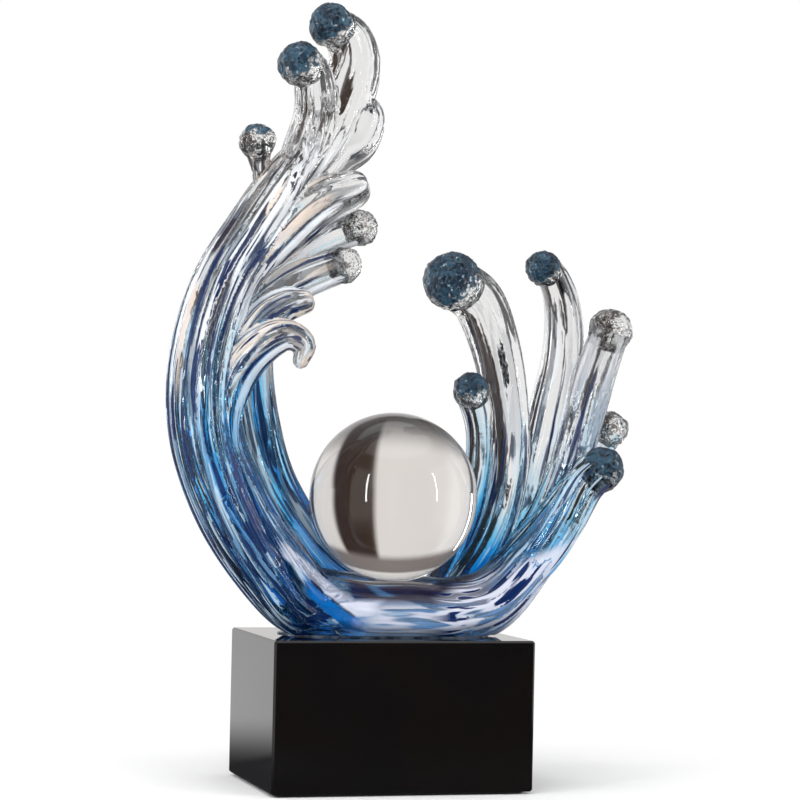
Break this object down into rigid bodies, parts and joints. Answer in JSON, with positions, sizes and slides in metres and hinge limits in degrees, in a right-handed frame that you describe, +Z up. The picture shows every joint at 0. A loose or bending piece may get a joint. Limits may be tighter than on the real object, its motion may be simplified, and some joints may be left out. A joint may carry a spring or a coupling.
{
  "type": "glass wave sculpture",
  "caption": "Curling glass wave, blue at its foot and clear at its crest, on a black block plinth, cradling a loose crystal ball that lifts out forwards and up.",
  "frame": {"origin": "centre of the plinth's underside, on the surface that the sculpture stands on", "axes": "+X to the viewer's right, +Y to the back, +Z up"},
  "size_m": [0.2939, 0.112, 0.4623],
  "materials": {
    "adhesive_bed": "thin cured adhesive",
    "ball_seat": "clear elastomer ring",
    "base_felt": "thin black felt",
    "cradle": "cast glass, deep blue, smooth and fluted",
    "crest_breaker": "cast glass, clear with grey-blue streaks",
    "crest_bud": "cast glass, clear with grey-blue streaks",
    "crest_curl_first": "cast glass, clear with grey-blue streaks",
    "crest_curl_fourth": "cast glass, clear with grey-blue streaks",
    "crest_curl_left": "cast glass, clear with grey-blue streaks",
    "crest_curl_second": "cast glass, clear with grey-blue streaks",
    "crest_curl_third": "cast glass, clear with grey-blue streaks",
    "crest_curl_top": "cast glass, clear with grey-blue streaks",
    "crest_lobe": "cast glass, clear with grey-blue streaks",
    "crystal_ball": "polished clear crystal",
    "finger_front": "cast glass, clear, faintly blue at the root",
    "finger_middle": "cast glass, clear, faintly blue at the root",
    "finger_outer": "cast glass, clear, faintly blue at the root",
    "finger_rear": "cast glass, clear, faintly blue at the root",
    "finger_short": "cast glass, clear, faintly blue at the root",
    "finger_tall": "cast glass, clear, faintly blue at the root",
    "left_inner_sheet": "cast glass, sky blue",
    "left_ridge": "cast glass, deep blue below and clear above",
    "plinth": "polished solid black glass",
    "right_swell": "cast glass, mid blue",
    "tip_of_crest_bud": "frosted, bubbled glass",
    "tip_of_crest_curl_left": "frosted, bubbled glass",
    "tip_of_crest_curl_second": "frosted, bubbled glass",
    "tip_of_crest_curl_third": "frosted, bubbled glass",
    "tip_of_crest_curl_top": "frosted, bubbled glass",
    "tip_of_finger_front": "frosted, bubbled glass",
    "tip_of_finger_middle": "frosted, bubbled glass",
    "tip_of_finger_outer": "frosted, bubbled glass",
    "tip_of_finger_rear": "frosted, bubbled glass",
    "tip_of_finger_short": "frosted, bubbled glass",
    "tip_of_finger_tall": "frosted, bubbled glass"
  },
  "bodies": {
    "sculpture": {"adhesive_bed": "adhesive_bed", "ball_seat": "ball_seat", "base_felt": "base_felt", "cradle": "cradle", "crest_breaker": "crest_breaker", "crest_bud": "crest_bud", "crest_curl_first": "crest_curl_first", "crest_curl_fourth": "crest_curl_fourth", "crest_curl_left": "crest_curl_left", "crest_curl_second": "crest_curl_second", "crest_curl_third": "crest_curl_third", "crest_curl_top": "crest_curl_top", "crest_lobe": "crest_lobe", "finger_front": "finger_front", "finger_middle": "finger_middle", "finger_outer": "finger_outer", "finger_rear": "finger_rear", "finger_short": "finger_short", "finger_tall": "finger_tall", "left_inner_sheet": "left_inner_sheet", "left_ridge": "left_ridge", "plinth": "plinth", "right_swell": "right_swell", "tip_of_crest_bud": "tip_of_crest_bud", "tip_of_crest_curl_left": "tip_of_crest_curl_left", "tip_of_crest_curl_second": "tip_of_crest_curl_second", "tip_of_crest_curl_third": "tip_of_crest_curl_third", "tip_of_crest_curl_top": "tip_of_crest_curl_top", "tip_of_finger_front": "tip_of_finger_front", "tip_of_finger_middle": "tip_of_finger_middle", "tip_of_finger_outer": "tip_of_finger_outer", "tip_of_finger_rear": "tip_of_finger_rear", "tip_of_finger_short": "tip_of_finger_short", "tip_of_finger_tall": "tip_of_finger_tall"},
    "ball": {"crystal_ball": "crystal_ball"}
  },
  "joints": [
    {"name": "ball_lift", "type": "slide", "parent": "sculpture", "child": "ball", "axis": [0, -0.7071, 0.7071], "range_m": [0, 0.18]}
  ]
}
